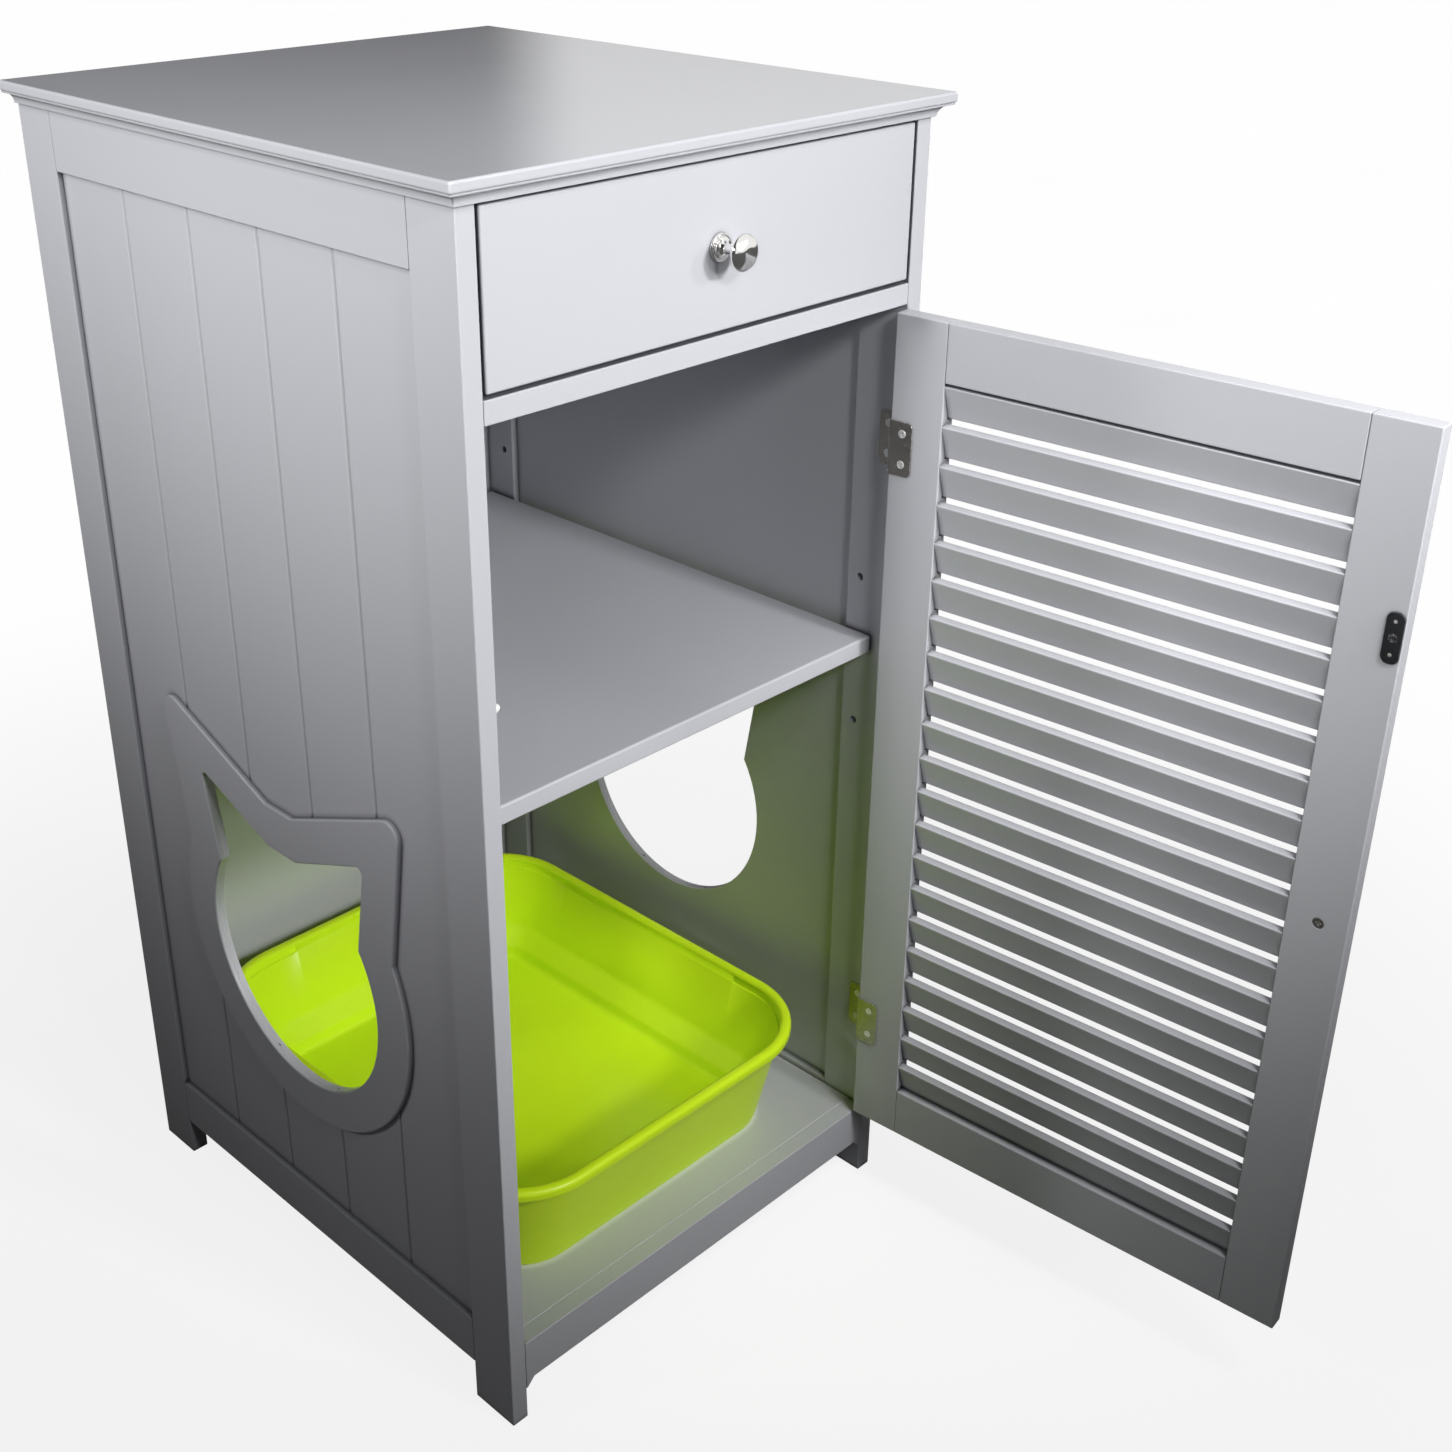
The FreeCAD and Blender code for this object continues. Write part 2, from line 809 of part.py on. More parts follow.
def hinge_pins():
    pins = []
    for z in hinge_heights:
        foot = Vector(hinge_x, hinge_y, z - hinge_height / 2)
        pins.append(rod(pin_radius, foot, up, hinge_height))
    return pins


# Knobs

def knob(place, direction):
    """Turned metal knob standing on place along direction, with a bore for its screw."""
    neck_top = knob_foot_height + knob_neck_length
    head_top = neck_top + knob_head_height
    collar_top = knob_foot_height + knob_collar_height
    foot = [
        (knob_foot_radius, 0), (knob_foot_radius, knob_foot_height - knob_foot_bevel),
        (knob_foot_radius - knob_foot_bevel, knob_foot_height),
        (knob_collar_radius, knob_foot_height),
        (knob_collar_radius - knob_collar_bevel, collar_top),
        (knob_neck_radius + knob_neck_flare, collar_top)]
    neck = [
        (knob_neck_radius, collar_top + knob_neck_flare),
        (knob_neck_radius, neck_top - knob_neck_flare)]
    head = []
    for step in range(1, knob_head_steps):
        angle = math.pi * step / knob_head_steps
        radius = max(knob_neck_radius, knob_head_radius * math.sin(angle))
        head.append((radius, neck_top + knob_head_height * (1 - math.cos(angle)) / 2))
    solid = revolved(foot + neck + head + [(0.0, head_top)], place, direction)
    return solid.cut(rod(knob_screw_radius + screw_fit, place, direction, knob_screw_reach))


def knob_screw(place, direction, wood):
    """Screw through wood of this thickness into the knob; place is on the knob's side."""
    head_seat = place - direction * (wood - knob_recess_depth)
    head = rod(
        knob_screw_head_radius, head_seat - direction * knob_screw_head_height,
        direction, knob_screw_head_height)
    shank = rod(knob_screw_radius, head_seat, direction, wood - knob_recess_depth + knob_screw_reach)
    recess = cross_recess(head_seat - direction * knob_screw_head_height, direction)
    return head.fuse(shank).cut(recess)


def knob_bore(place, inward, wood):
    bore = rod(knob_screw_radius + screw_fit, place, inward, wood)
    recess_start = place + inward * (wood - knob_recess_depth)
    return bore.fuse(rod(knob_recess_radius, recess_start, inward, knob_recess_depth))


def door_knob_place():
    return Vector(door_free_x + door_knob_from_free_edge, front_y, (door_z0 + door_z1) / 2)


def drawer_knob_place():
    return Vector(0, front_y, (drawer_z0 + drawer_z1) / 2)


# Strike plate, magnet catch and door stop

def strike_screw_seat():
    return Vector(strike_x, door_inner_y + strike_thickness, strike_centre_height)


def strike_plate():
    half = strike_height / 2
    outline = rounded_slot(strike_x, door_inner_y, strike_centre_height, strike_width, half)
    plate = outline.extrude(back * strike_thickness)
    for side in (-1, 1):
        z = strike_centre_height + side * strike_dimple_spacing / 2
        centre = Vector(strike_x, door_inner_y + strike_thickness + strike_dimple_radius / 2, z)
        plate = plate.cut(Part.makeSphere(strike_dimple_radius, centre))
    return drilled(plate, [strike_screw_seat()], -back)


def rounded_slot(x, y, z, width, half_height):
    radius = width / 2
    straight = half_height - radius
    low_right = Vector(x + radius, y, z - straight)
    high_right = Vector(x + radius, y, z + straight)
    high_left = Vector(x - radius, y, z + straight)
    low_left = Vector(x - radius, y, z - straight)
    edges = [
        Part.makeLine(low_right, high_right),
        Part.Arc(high_right, Vector(x, y, z + half_height), high_left).toShape(),
        Part.makeLine(high_left, low_left),
        Part.Arc(low_left, Vector(x, y, z - half_height), low_right).toShape()]
    return Part.Face(Part.Wire(edges))


def catch_screw_seats():
    reach = catch_height / 2 + catch_ear / 2
    return [
        Vector(-inner_half + catch_ear_thickness, catch_y0 + catch_depth / 2,
               strike_centre_height + side * reach) for side in (-1, 1)]


def catch_core(x0, x1):
    """Block inside the catch between x0 and x1, measured from the stile's face."""
    return box(
        -inner_half + x0, -inner_half + x1, catch_y0, catch_y0 + magnet_depth,
        strike_centre_height - magnet_height / 2, strike_centre_height + magnet_height / 2)


def catch_layers():
    """Distances of the two pole plates and the magnet from the stile's face."""
    middle = catch_ear_thickness + (catch_reach - catch_ear_thickness) / 2
    near = middle - magnet_thickness / 2
    far = middle + magnet_thickness / 2
    return near - pole_plate_thickness, near, far, far + pole_plate_thickness


def magnet_catch():
    body = eased(box(
        -inner_half, -inner_half + catch_reach, catch_y0 + pole_plate_proud, catch_y0 + catch_depth,
        strike_centre_height - catch_height / 2, strike_centre_height + catch_height / 2))
    reach = catch_height / 2 + catch_ear
    ear_y0 = catch_y0 + (catch_depth - catch_ear_width) / 2
    ears = box(
        -inner_half, -inner_half + catch_ear_thickness, ear_y0, ear_y0 + catch_ear_width,
        strike_centre_height - reach, strike_centre_height + reach)
    near_plate, near, far, far_plate = catch_layers()
    return drilled(body.fuse(ears).cut(catch_core(near_plate, far_plate)), catch_screw_seats(), -right)


def catch_pole_plates():
    near_plate, near, far, far_plate = catch_layers()
    return [catch_core(near_plate, near), catch_core(far, far_plate)]


def catch_magnet():
    near_plate, near, far, far_plate = catch_layers()
    magnet = catch_core(near, far)
    recess = box(
        -inner_half + near, -inner_half + far, catch_y0, catch_y0 + magnet_set_back,
        strike_centre_height - magnet_height / 2, strike_centre_height + magnet_height / 2)
    return magnet.cut(recess)


def stop_place():
    return Vector(-inner_half, door_inner_y + stop_door_gap + stop_radius, stop_height)


def door_stop_peg():
    peg = eased_end(rod(stop_radius, stop_place(), right, stop_length), -inner_half + stop_length)
    return peg.fuse(rod(stop_shank_radius, stop_place(), -right, stop_shank_length - groove_end_gap))


def eased_end(peg, x):
    ring = [edge for edge in peg.Edges if abs(edge.CenterOfMass.x - x) < arris / 2]
    ring = [edge for edge in ring if edge.BoundBox.XLength < arris / 2]
    return peg.makeFillet(arris, ring)


# Drawer

def drawer_reach():
    return inner_half - drawer_side_gap


def drawer_y1():
    return back_rail_y0 - drawer_back_gap


def drawer_bottom_z0():
    return drawer_z0 + drawer_bottom_rise


def bottom_tongue():
    return drawer_groove - groove_end_gap


def drawer_front():
    reach = drawer_reach()
    board = eased(box(
        -reach, reach, front_y, front_y + drawer_front_thickness, drawer_z0, drawer_z1), front_arris)
    inside = reach - drawer_side_thickness
    back_face = front_y + drawer_front_thickness
    groove = box(
        -inside, inside, back_face - drawer_groove, back_face,
        drawer_bottom_z0(), drawer_bottom_z0() + drawer_bottom_thickness)
    bore = knob_bore(drawer_knob_place(), back, drawer_front_thickness)
    return board.cut(groove).cut(bore)


def drawer_side(side):
    reach = drawer_reach()
    inside = reach - drawer_side_thickness
    back_face = front_y + drawer_front_thickness
    board = eased(box(
        inside, reach, back_face, drawer_y1(), drawer_z0, drawer_z0 + drawer_side_height))
    groove = box(
        inside, inside + drawer_groove, back_face, drawer_y1(),
        drawer_bottom_z0(), drawer_bottom_z0() + drawer_bottom_thickness)
    return on_side(side, board.cut(groove))


def drawer_back():
    inside = drawer_reach() - drawer_side_thickness
    return eased(box(
        -inside, inside, drawer_y1() - drawer_side_thickness, drawer_y1(),
        drawer_bottom_z0() + drawer_bottom_thickness, drawer_z0 + drawer_side_height))


def drawer_bottom():
    wide = drawer_reach() - drawer_side_thickness + bottom_tongue()
    inside = drawer_reach() - drawer_side_thickness
    back_face = front_y + drawer_front_thickness
    z0 = drawer_bottom_z0()
    z1 = z0 + drawer_bottom_thickness
    board = box(-wide, wide, back_face, drawer_y1(), z0, z1)
    return board.fuse(box(-inside, inside, back_face - bottom_tongue(), back_face, z0, z1)).removeSplitter()


# Litter pan

def pan_wire(inset, z):
    return rounded_rectangle(
        -inner_half + pan_left_gap + inset, inner_half - pan_right_gap - inset,
        front_y + pan_front_gap + inset, back_rail_y0 - pan_back_gap - inset, pan_corner - inset, z)


def pan_loft(low_inset, high_inset, z0, z1):
    return Part.makeLoft([pan_wire(low_inset, z0), pan_wire(high_inset, z1)], True, True)


def pan_ring(inset, width, z0, z1):
    outer = Part.Face(pan_wire(inset, z0)).extrude(up * (z1 - z0))
    return outer.cut(Part.Face(pan_wire(inset + width, z0)).extrude(up * (z1 - z0)))


def litter_pan():
    z0 = apron_top + pan_seat_gap
    z1 = z0 + pan_height
    tub = pan_loft(pan_base_inset, pan_lip_width, z0, z1)
    base_edges = [edge for edge in tub.Edges if edge.BoundBox.ZMax < z0 + pan_wall]
    tub = tub.makeFillet(pan_cove + pan_wall, base_edges)
    floor_z = z0 + pan_wall
    hollow = pan_loft(pan_base_inset + pan_wall, pan_lip_width + pan_wall, floor_z, z1)
    low_edges = [edge for edge in hollow.Edges if edge.BoundBox.ZMax < floor_z + pan_wall]
    hollow = hollow.makeFillet(pan_cove, low_edges)
    foot = pan_ring(pan_base_inset, pan_wall, z0, z0 + pan_foot_height)
    lip = pan_ring(0.0, pan_lip_width + pan_wall, z1 - pan_wall, z1)
    skirt = pan_ring(0.0, pan_wall, z1 - pan_lip_height, z1 - pan_wall)
    return tub.fuse([foot, lip, skirt]).cut(hollow).removeSplitter()


def save(name, solids):
    shape = Part.makeCompound(solids) if isinstance(solids, list) else solids
    shape.exportStep("parts/" + name + ".step")


nodes = {
    "top_board": top_board(),
    "cornice_front": cornice_front(),
    "cornice_left": cornice_side(-1),
    "cornice_right": cornice_side(1),
    "front_top_rail": front_rail(front_rail_bottom, under_top),
    "drawer_rail": front_rail(drawer_rail_z0, drawer_rail_z1),
    "apron": apron(),
    "rail_dowels": rail_dowels(),
    "left_front_stile": left_front_stile(),
    "right_front_stile": right_front_stile(),
    "back_panel": back_panel(),
    "back_top_rail": back_rail(top_rail_bottom, under_top, top_rail_bottom),
    "back_bottom_rail": back_rail(leg_clearance, bottom_rail_top, bottom_rail_top),
    "floor_board": floor_board(),
    "shelf": shelf(),
    "shelf_pins": shelf_pins(),
    "frame_hinge_leaves": [frame_leaf(z) for z in hinge_heights],
    "frame_hinge_screws": [screw(seat, right) for seat in frame_screw_seats()],
    "hinge_pins": hinge_pins(),
    "door_stop_peg": door_stop_peg(),
    "magnet_catch": magnet_catch(),
    "catch_pole_plates": catch_pole_plates(),
    "catch_magnet": catch_magnet(),
    "catch_screws": [screw(seat, -right) for seat in catch_screw_seats()],
    "drawer_front": drawer_front(),
    "drawer_left_side": drawer_side(-1),
    "drawer_right_side": drawer_side(1),
    "drawer_back": drawer_back(),
    "drawer_bottom": drawer_bottom(),
    "drawer_knob": knob(drawer_knob_place(), -back),
    "drawer_knob_screw": knob_screw(drawer_knob_place(), -back, drawer_front_thickness),
    "litter_pan": litter_pan(),
}

for side, name in ((-1, "left"), (1, "right")):
    nodes[name + "_back_stile"] = back_stile(side)
    nodes[name + "_top_rail"] = side_top_rail(side)
    nodes[name + "_bottom_rail"] = side_bottom_rail(side)
    nodes[name + "_panel"] = side_panel(side)
    nodes[name + "_cat_trim"] = cat_trim(side)
    nodes[name + "_floor_cleat"] = floor_cleat_strip(side)
    nodes[name + "_drawer_runner"] = drawer_runner(side)

low_tenon, high_tenon = door_tenon_heights()
door_nodes = {
    "door_hinge_stile": door_hinge_stile(),
    "door_free_stile": door_free_stile(),
    "door_top_rail": door_rail(door_z1 - door_rail_height, high_tenon),
    "door_bottom_rail": door_rail(door_z0, low_tenon),
    "louvre_slats": Part.makeCompound(louvre_slats()),
    "door_hinge_leaves": Part.makeCompound([door_leaf(z) for z in hinge_heights]),
    "door_hinge_screws": Part.makeCompound([screw(seat, -back) for seat in door_screw_seats()]),
    "door_knob": knob(door_knob_place(), -back),
    "door_knob_screw": knob_screw(door_knob_place(), -back, door_thickness),
    "strike_plate": strike_plate(),
    "strike_plate_screw": screw(strike_screw_seat(), -back),
}
for name, shape in door_nodes.items():
    nodes[name] = opened(shape)

os.makedirs("parts", exist_ok=True)
for name, shape in nodes.items():
    save(name, shape)
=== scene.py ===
import json
import math

import bmesh
import bpy
from mathutils import Matrix, Vector


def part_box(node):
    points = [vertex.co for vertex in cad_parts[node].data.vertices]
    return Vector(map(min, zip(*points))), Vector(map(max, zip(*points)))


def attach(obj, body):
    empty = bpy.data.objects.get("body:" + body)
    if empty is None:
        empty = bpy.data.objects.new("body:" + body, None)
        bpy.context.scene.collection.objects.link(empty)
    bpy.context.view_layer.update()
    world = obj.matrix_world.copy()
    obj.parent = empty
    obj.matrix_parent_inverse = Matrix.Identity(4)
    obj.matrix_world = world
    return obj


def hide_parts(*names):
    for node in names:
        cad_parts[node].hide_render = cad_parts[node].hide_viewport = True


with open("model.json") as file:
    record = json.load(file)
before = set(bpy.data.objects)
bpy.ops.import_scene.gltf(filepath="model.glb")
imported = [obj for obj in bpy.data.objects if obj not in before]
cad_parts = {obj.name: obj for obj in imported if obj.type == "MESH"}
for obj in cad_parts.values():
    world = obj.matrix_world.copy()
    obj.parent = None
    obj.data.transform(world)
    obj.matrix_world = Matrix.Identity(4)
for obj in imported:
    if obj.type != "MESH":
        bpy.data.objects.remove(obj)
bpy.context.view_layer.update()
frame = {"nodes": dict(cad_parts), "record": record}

print("frame loaded:", len(frame["nodes"]), "nodes")

camera = {
    "place": (-0.820918, -1.010106, 1.091278),
    "turn": (64.0189, -0.2871, -45.5053),  # degrees
    "lens": 46.2113,
    "sensor": 36.0,
    "shift": (0.02752, -0.03463),
    "clip": (0.05, 60),
}


def makeCamera():
    data = bpy.data.cameras.new("camera")
    data.sensor_width = camera["sensor"]
    data.lens = camera["lens"]
    data.shift_x, data.shift_y = camera["shift"]
    data.clip_start, data.clip_end = camera["clip"]
    holder = bpy.data.objects.new("camera", data)
    holder.location = camera["place"]
    holder.rotation_euler = [math.radians(angle) for angle in camera["turn"]]
    bpy.context.scene.collection.objects.link(holder)
    bpy.context.scene.camera = holder


makeCamera()
bpy.context.scene.view_settings.view_transform = "Standard"
print("camera placed")


class Wire:  # a shader socket that takes part in Python maths
    def __init__(self, look, socket):
        self.look = look
        self.socket = socket

    def out(self, name):
        return Wire(self.look, self.socket.node.outputs[name])

    def __add__(self, other):
        return self.look.maths("ADD", self, other)

    def __sub__(self, other):
        return self.look.maths("SUBTRACT", self, other)

    def __rsub__(self, other):
        return self.look.maths("SUBTRACT", other, self)

    def __mul__(self, other):
        return self.look.maths("MULTIPLY", self, other)

    __radd__ = __add__
    __rmul__ = __mul__


raySamples = 4  # for rounded edges, painted highlights and painted shade in joints


class Look:  # builds the nodes of one material or of the world
    def __init__(self, owner):
        owner.use_nodes = True
        self.owner = owner
        self.tree = owner.node_tree
        self.tree.nodes.clear()

    def node(self, kind, settings=None, sockets=None):
        made = self.tree.nodes.new(kind)
        for key, value in (settings or {}).items():
            setattr(made, key, value)
        for key, value in (sockets or {}).items():
            if isinstance(value, Wire):
                self.tree.links.new(value.socket, made.inputs[key])
            else:
                made.inputs[key].default_value = value
        return Wire(self, made.outputs[0]) if made.outputs else made

    def maths(self, operation, first, second):
        return self.node("ShaderNodeMath", {"operation": operation}, {0: first, 1: second})

    def place(self, scale=(1, 1, 1)):
        seen = self.node("ShaderNodeTexCoord").out("Object")
        return self.node("ShaderNodeMapping", None, {"Vector": seen, "Scale": scale})

    def noise(self, where, scale, detail=2.0, roughness=0.5):
        return self.node("ShaderNodeTexNoise", None, {
            "Vector": where, "Scale": scale, "Detail": detail, "Roughness": roughness})

    def mixed(self, factor, first, second):
        # 6 and 7 are the two colour inputs of a Mix node, and 2 is its colour output
        mix = self.node("ShaderNodeMix", {"data_type": "RGBA"}, {"Factor": factor, 6: first, 7: second})
        return Wire(self, mix.socket.node.outputs[2])

    def bump(self, height, strength, distance, under=None):
        sockets = {"Height": height, "Strength": strength, "Distance": distance}
        if under:
            sockets["Normal"] = under
        return self.node("ShaderNodeBump", None, sockets)

    def softEdge(self, radius):  # catches light on the arris as a painted or moulded edge does
        return self.node("ShaderNodeBevel", {"samples": raySamples}, {"Radius": radius})

    def dot(self, first, second):
        product = self.node("ShaderNodeVectorMath", {"operation": "DOT_PRODUCT"}, {0: first, 1: second})
        return product.out("Value")

    def arris(self, eased, gain):  # 1 on edges and grooves: the mask of a painted highlight
        flat = self.node("ShaderNodeNewGeometry").out("Normal")
        return self.node("ShaderNodeMapRange", None, {"Value": (1 - self.dot(eased, flat)) * gain})

    def openness(self, reach, closed, clear):  # 0 in tight joints, 1 on open surfaces: the mask where shade is painted into corners
        seen = self.node("ShaderNodeAmbientOcclusion", {"samples": raySamples}, {"Distance": reach})
        return self.node("ShaderNodeMapRange", None, {
            "Value": seen.out("AO"), "From Min": closed, "From Max": clear})

    def surface(self, sockets):
        shader = self.node("ShaderNodeBsdfPrincipled", None, sockets)
        self.node("ShaderNodeOutputMaterial", None, {"Surface": shader})
        return self.owner


def tone(colour):
    return (colour[0], colour[1], colour[2], 1.0)


def grey(shade):
    return (shade, shade, shade, 1.0)


def newLook(name):
    return Look(bpy.data.materials.new(name))


white = grey(1.0)

studio = {
    "spots": {  # place, aim, watts, cone in degrees
        "frontSpot": ((0.2, -1.9, 1.5), (0.0, -0.2, 0.95), 103, 62),
        "frontLowSpot": ((-0.05, -1.9, 1.2), (-0.16, -0.2, 0.70), 46, 42),
        "frontLeftSpot": ((-0.45, -1.4, 1.55), (0.0, -0.23, 0.95), 32, 62),
        "sideSpot": ((-1.7, -0.2, 1.5), (-0.2, 0.0, 1.25), 128, 62),
        "cornerSpot": ((-1.5, -1.3, 1.4), (0.1, -0.4, 1.1), 12, 55),
        "backSpot": ((-1.7, 0.5, 1.5), (-0.2, 0.0, 0.95), 41, 60),
        "rightSpot": ((0.9, -1.7, 1.5), (0.0, -0.2, 1.0), 28, 55),
        "doorSpot": ((-0.07, -1.17, 1.67), (0.2, -0.44, 0.38), 46, 28),
        "doorEdgeSpot": ((-1.3, -1.5, 1.3), (0.2, -0.62, 0.70), 20, 24),
        "panSpot": ((-0.1, -1.5, 1.15), (-0.02, -0.1, 0.1), 8, 20),
    },
    "spotSoftness": 0.12,
    "spotBlend": 1.0,
    "worldLight": 0.012,
    "mirrored": 1.0,  # how much of the white surroundings shows in gloss
    "darkSide": 0.04,  # the same towards the back left
    "darkFrom": math.radians(49),
    "darkBlur": 0.02,
    "floorSize": 30.0,
    "floorShade": 0.22,
    "floorMirrored": 0.10,
    "floorShown": 0.86,  # near the object, where the rest of the shade is its shadow
    "floorFade": (0.35, 1.5),  # metres over which the shadow fades into the surroundings
    "floorSeen": 0.95,
    "floorCloud": 0.02,
    "floorCloudScale": 3.0,
}


def makeLamps():
    for name, (place, aim, watts, cone) in studio["spots"].items():
        data = bpy.data.lights.new(name, "SPOT")
        data.energy = watts
        data.shadow_soft_size = studio["spotSoftness"]
        data.spot_size = math.radians(cone)
        data.spot_blend = studio["spotBlend"]
        holder = bpy.data.objects.new(name, data)
        holder.location = place
        holder.rotation_euler = (Vector(aim) - Vector(place)).to_track_quat("-Z", "Y").to_euler()
        holder.visible_camera = False
        bpy.context.scene.collection.objects.link(holder)


def seenDirectly(look, mirrored):
    # 1 for rays that see the surroundings straight or through clear things, mirrored for gloss
    path = look.node("ShaderNodeLightPath")
    clear = look.maths("MAXIMUM", path.out("Is Camera Ray"), path.out("Is Transmission Ray"))
    return look.maths("MAXIMUM", clear, path.out("Is Glossy Ray") * mirrored)


def makeWorld():
    world = bpy.data.worlds.new("studio")
    bpy.context.scene.world = world
    look = Look(world)
    direction = look.node("ShaderNodeTexCoord").out("Generated")
    across = (math.sin(studio["darkFrom"]), -math.cos(studio["darkFrom"]), 0)
    blur = studio["darkBlur"]
    lit = look.node("ShaderNodeMapRange", None, {
        "Value": look.dot(direction, across), "From Min": -blur, "From Max": blur,
        "To Min": studio["darkSide"], "To Max": studio["mirrored"]})
    strength = look.maths("MAXIMUM", seenDirectly(look, lit), studio["worldLight"])
    sky = look.node("ShaderNodeBackground", None, {"Color": white, "Strength": strength})
    look.node("ShaderNodeOutputWorld", None, {"Surface": sky})


def makeFloor():
    bm = bmesh.new()
    bmesh.ops.create_grid(bm, x_segments=1, y_segments=1, size=studio["floorSize"] / 2)
    look = newLook("studioFloor")
    where = look.place()
    cloud = look.noise(where, studio["floorCloudScale"]) * studio["floorCloud"]
    seen = look.node("ShaderNodeLightPath").out("Is Camera Ray")
    shade = look.mixed(seen, grey(studio["floorShade"]), grey(studio["floorSeen"]))
    lit = look.node("ShaderNodeBsdfDiffuse", None, {"Color": shade})
    glow = look.node("ShaderNodeEmission", None, {"Color": white, "Strength": 1.0})
    distance = look.node("ShaderNodeVectorMath", {"operation": "LENGTH"}, {0: where}).out("Value")
    near, far = studio["floorFade"]
    share = look.node("ShaderNodeMapRange", {"interpolation_type": "SMOOTHSTEP"}, {
        "Value": distance, "From Min": near, "From Max": far,
        "To Min": studio["floorShown"], "To Max": 1.0})
    shown = seenDirectly(look, studio["floorMirrored"]) * (share - cloud)
    mix = look.node("ShaderNodeMixShader", None, {"Fac": shown, 1: lit, 2: glow})
    look.node("ShaderNodeOutputMaterial", None, {"Surface": mix})
    mesh = bpy.data.meshes.new("studioFloor")
    bm.to_mesh(mesh)
    bm.free()
    mesh.materials.append(look.owner)
    floor = bpy.data.objects.new("studioFloor", mesh)
    bpy.context.scene.collection.objects.link(floor)


makeWorld()
makeFloor()
makeLamps()
print("studio lit")

paint = {
    "light": (0.478, 0.483, 0.512), "dark": (0.448, 0.453, 0.482),
    "satin": 0.34, "polished": 0.17, "roughnessSpread": 0.10, "gloss": 0.4,
    "grainScale": 190.0, "grainStretch": 0.05, "grainDetail": 4.0, "grainRoughness": 0.6,
    "peelScale": 700.0, "peelDetail": 1.0, "cloudScale": 6.0, "cloudDetail": 3.0,
    "cloudShare": 0.7, "grainShare": 0.3,  # in the colour
    "grainRise": 0.4, "peelRise": 0.6,  # in the relief
    "bumpDepth": 0.00012, "bumpStrength": 0.35,
    # the gains and the light edge tone below paint a highlight onto edges and grooves
    "edge": 0.0009, "highlightGain": 3.0, "grooveHighlightGain": 13.0, "paintedHighlight": (0.70, 0.705, 0.73),
    # the joint reach, tones and limits paint shade into tight joints and corners
    "joint": 0.005, "paintedCornerTone": (0.07, 0.07, 0.085), "jointClosed": 0.42, "jointOpen": 0.90,
}


def paintLook(name, axis, roughness, highlightGain=paint["highlightGain"], paintedCornerTone=paint["paintedCornerTone"]):
    look = newLook(name)
    stretch = [1.0, 1.0, 1.0]
    stretch[axis] = paint["grainStretch"]
    along = look.place(stretch)
    where = look.place()
    grain = look.noise(along, paint["grainScale"], paint["grainDetail"], paint["grainRoughness"])
    peel = look.noise(where, paint["peelScale"], paint["peelDetail"])
    cloud = look.noise(where, paint["cloudScale"], paint["cloudDetail"])
    eased = look.softEdge(paint["edge"])
    mottle = cloud * paint["cloudShare"] + grain * paint["grainShare"]
    colour = look.mixed(mottle, tone(paint["dark"]), tone(paint["light"]))
    # painted highlight: edges and grooves lightened towards the light edge tone
    colour = look.mixed(look.arris(eased, highlightGain), colour, tone(paint["paintedHighlight"]))
    # painted shade: tight joints and corners darkened (lightened as a painted highlight on the floor
    # board)
    colour = look.mixed(look.openness(paint["joint"], paint["jointClosed"], paint["jointOpen"]),
                        tone(paintedCornerTone), colour)
    relief = grain * paint["grainRise"] + peel * paint["peelRise"]
    return look.surface({
        "Base Color": colour,
        "Roughness": cloud * paint["roughnessSpread"] + (roughness - paint["roughnessSpread"] / 2),
        "Normal": look.bump(relief, paint["bumpStrength"], paint["bumpDepth"], eased),
        "Specular IOR Level": paint["gloss"],
    })


plastic = {
    "light": (0.61, 0.85, 0.016), "dark": (0.56, 0.79, 0.012),
    "glow": 0.05,  # painted glow: the plastic emits light in its own colour, in place of light spread inside it
    "roughness": 0.30, "roughnessSpread": 0.10, "gloss": 0.28,
    "cloudScale": 14.0, "cloudDetail": 3.0, "gritScale": 1400.0, "gritDetail": 1.0,
    "bumpDepth": 0.0001, "bumpStrength": 0.25,
}


def plasticLook():
    look = newLook("limePlastic")
    where = look.place()
    cloud = look.noise(where, plastic["cloudScale"], plastic["cloudDetail"])
    grit = look.noise(where, plastic["gritScale"], plastic["gritDetail"])
    colour = look.mixed(cloud, tone(plastic["dark"]), tone(plastic["light"]))
    spread = plastic["roughnessSpread"]
    return look.surface({
        "Base Color": colour,
        "Roughness": cloud * spread + (plastic["roughness"] - spread / 2),
        "Normal": look.bump(grit, plastic["bumpStrength"], plastic["bumpDepth"]),
        "Specular IOR Level": plastic["gloss"],
        # painted glow in the plastic's own colour
        "Emission Color": colour,
        "Emission Strength": plastic["glow"],
    })


metal = {
    "dimmed": 0.92, "detail": 3.0, "edge": 0.0002,
    "highlightScatter": 0.8,  # share of the painted edge highlight that scatters light as paint does
    "bumpDepth": 0.00003, "bumpStrength": 0.15,
}


def metalLook(name, colour, roughness, spread, scale, edge=metal["edge"], highlightGain=0.0):
    look = newLook(name)
    cloud = look.noise(look.place(), scale, metal["detail"])
    eased = look.softEdge(edge)
    shade = look.mixed(cloud, tone([part * metal["dimmed"] for part in colour]), tone(colour))
    # painted highlight: edges turn white and less metallic
    bright = look.arris(eased, highlightGain)
    return look.surface({
        "Base Color": look.mixed(bright, shade, white),
        "Metallic": 1 - bright * metal["highlightScatter"],
        "Roughness": cloud * spread + roughness,
        "Normal": look.bump(cloud, metal["bumpStrength"], metal["bumpDepth"], eased),
    })


plain = {
    "detail": 3.0, "edge": 0.0003, "roughnessSpread": 0.12, "bumpDepth": 0.0001, "bumpStrength": 0.2,
}


